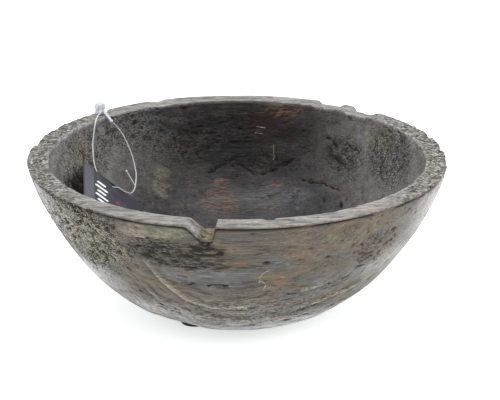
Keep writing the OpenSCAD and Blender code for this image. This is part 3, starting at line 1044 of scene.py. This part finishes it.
def make_tag():
    place = tag_place()
    middle = TAG_HOLE_EDGE - TAG_SIZE[1] / 2
    dark = printed_card("tag_dark", srgb(53, 56, 63), srgb(94, 97, 104))
    band_ink = printed_card("tag_band_ink", srgb(86, 87, 95), srgb(114, 115, 122))
    white = printed_card("tag_white_ink", srgb(244, 244, 245), srgb(206, 206, 208))
    red = printed_card("tag_red_ink", srgb(150, 52, 54), srgb(120, 90, 92))
    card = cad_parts["tag_card"]
    card.data.materials.clear()
    card.data.materials.append(dark)
    weld = card.modifiers.new("weld", "WELD")
    weld.merge_threshold = TAG_WELD * MM
    worn_edge = card.modifiers.new("worn_edge", "BEVEL")
    worn_edge.width = TAG_WORN_EDGE * MM
    worn_edge.segments = 2

    top = TAG_THICK - TAG_INK_LIFT
    band = shifted(rounded_outline(BAND_WIDTH, TAG_SIZE[1] - 2, 0.4),
                   BAND_SIDE + BAND_WIDTH / 2, middle)
    bars = []
    for index in range(BAR_COUNT):
        length = BAR_SIZE[0] * (1 if index % 2 else 0.7)
        bar = rounded_outline(length, BAR_SIZE[1], 1.2, 4)
        bars.append(shifted(bar, BAR_MIDDLE, BAR_START - index * BAR_PITCH, BAR_SLANT))
    dot = shifted(circle_outline(DOT_SIZE), *DOT_PLACE)
    for name, outlines, ink in (("tag_band", [band], band_ink), ("tag_bars", bars, white),
                                ("tag_dot", [dot], red)):
        print_on = printed(name, outlines, place, top, TAG_THICK + TAG_INK_LIFT, ink)
        ride_for(print_on, "tag_body", "tag_card")
    return card


# ---- Nylon fastener ----

HEAD_PLACE = (-99.7, 88.3, 108.4)
HEAD_ANGLE = 138.7
HEAD_SIZE, HEAD_CORNER = (5.0, 7.0), 1.3
# Levels of the head: height, and share of its full width there.
HEAD_LEVELS = [(0.0, 0.8), (0.25, 0.9), (0.9, 0.98), (1.6, 1.0), (2.6, 1.0), (2.9, 0.94),
               (3.5, 0.94), (3.8, 1.0), (6.6, 1.0), (7.4, 0.95), (8.1, 0.82), (8.5, 0.6)]
PLUG_START = (-98, 89.3, 111.6)
PLUG_END = (-90.6, 75.9, 106.6)
PLUG_D, PLUG_BEAD_D = 1.8, 2.6
# Collars of the plug: distance along it, and radius.
PLUG_COLLARS = [(5.5, 1.1), (9.0, 1.1)]
STUB_START = (-80, 66, 72)
STUB_END = (-73.8, 60.8, 62.8)
STUB_D, STUB_BEAD_D = 0.9, 1.7


def bead_profile(rod, bead, length, collars=()):
    """Rod with round collars and a round bead at its far end, as [radius, distance]."""
    profile = [(rod * 0.25, 0), (rod * 0.42, 0.12), (rod / 2, 0.4)]
    for along, size in collars:
        profile += [(rod / 2, along - size), (size, along - size * 0.4),
                    (size, along + size * 0.2), (rod / 2, along + size * 0.5)]
    waist = math.asin(min(rod / bead, 1))
    for step in range(9):
        angle = math.pi - waist + (waist - math.pi) * step / 8.6
        profile.append((bead / 2 * math.sin(angle), length + bead / 2 * math.cos(angle)))
    return profile


def make_head(nylon):
    place = Matrix.Translation(HEAD_PLACE) @ Matrix.Rotation(math.radians(HEAD_ANGLE), 4, "Z")
    outline = rounded_outline(*HEAD_SIZE, HEAD_CORNER)
    vertices = [place @ Vector((x * share, y * share, height))
                for height, share in HEAD_LEVELS for x, y in outline]
    head = add_piece("loop_lock_head", vertices, ring_faces(len(HEAD_LEVELS), len(outline)),
                     nylon)
    ride_for(head, "loop_body", "nylon", "loop_head")
    return head


def make_fastener():
    nylon = clear_nylon()
    loop.data.materials.append(nylon)
    ride_for(loop, "loop_body", "nylon", "loop_filament")
    head = make_head(nylon)
    reach = (Vector(PLUG_END) - Vector(PLUG_START)).length
    plug_line = bead_profile(PLUG_D, PLUG_BEAD_D, reach, PLUG_COLLARS)
    plug = turned("loop_lock_plug", plug_line, PLUG_START, PLUG_END, nylon)
    ride_for(plug, "loop_body", "nylon", "loop_plug")
    stub_line = bead_profile(STUB_D, STUB_BEAD_D, (Vector(STUB_START) - Vector(STUB_END)).length)
    stub = turned("loop_cut_stub", stub_line, STUB_END, STUB_START, nylon, 20)
    ride_for(stub, "loop_body", "nylon", "loop_stub")


# ---- Stage and light ----

FLOOR_HALF = 4.0
FLOOR_GLOW, TENT_GLOW = 0.62, 0.85
# Lights of the tent: name, place, size and power. Sizes on the stage are in metres.
TENT_LIGHTS = [("tent_top", (0, 0.1, 1.3), 1.2, 9), ("tent_left", (-1.3, -0.3, 0.8), 0.8, 3),
               ("tent_right", (1.3, -0.3, 0.7), 0.8, 6)]
TENT_AIM = Vector((0, 0, 0.05))


def add_light(name, place, size, power):
    data = bpy.data.lights.new(name, "AREA")
    data.shape = "DISK"
    data.size = size
    data.energy = power
    light = new_object(name, data)
    light.location = place
    light.rotation_euler = (TENT_AIM - Vector(place)).to_track_quat("-Z", "Y").to_euler()


def make_stage():
    paper = Finish("floor_paper")
    tooth = paper.noise(8, 41)
    paper.set(Base_Color=paper.mix(tooth, srgb(246, 247, 247), srgb(250, 251, 251)),
              Roughness=0.9, Emission_Color=srgb(250, 252, 253), Emission_Strength=FLOOR_GLOW)
    mesh = bpy.data.meshes.new("floor")
    corners = [(-FLOOR_HALF, -FLOOR_HALF, 0), (FLOOR_HALF, -FLOOR_HALF, 0),
               (FLOOR_HALF, FLOOR_HALF, 0), (-FLOOR_HALF, FLOOR_HALF, 0)]
    mesh.from_pydata(corners, [], [(0, 1, 2, 3)])
    mesh.materials.append(paper.material)
    new_object("floor", mesh)

    world = bpy.data.worlds.new("light_tent")
    world.use_nodes = True
    background = world.node_tree.nodes["Background"]
    background.inputs["Color"].default_value = srgb(250, 252, 255)
    background.inputs["Strength"].default_value = TENT_GLOW
    bpy.context.scene.world = world
    bpy.context.scene.view_settings.view_transform = "Standard"
    for light in TENT_LIGHTS:
        add_light(*light)


# ---- Putting it together ----

make_camera()
make_stage()
loop_line = smooth_route(LOOP_ROUTE, LOOP_STEPS)
loop = make_loop(loop_line)
tag = make_tag()
make_fastener()
bowl = grid_mesh("bowl_wood", *carve_bowl())
bowl.data.materials.append(carved_wood())
ride_for(bowl, "bowl_body", "carved_wood", "bowl")
make_feet()
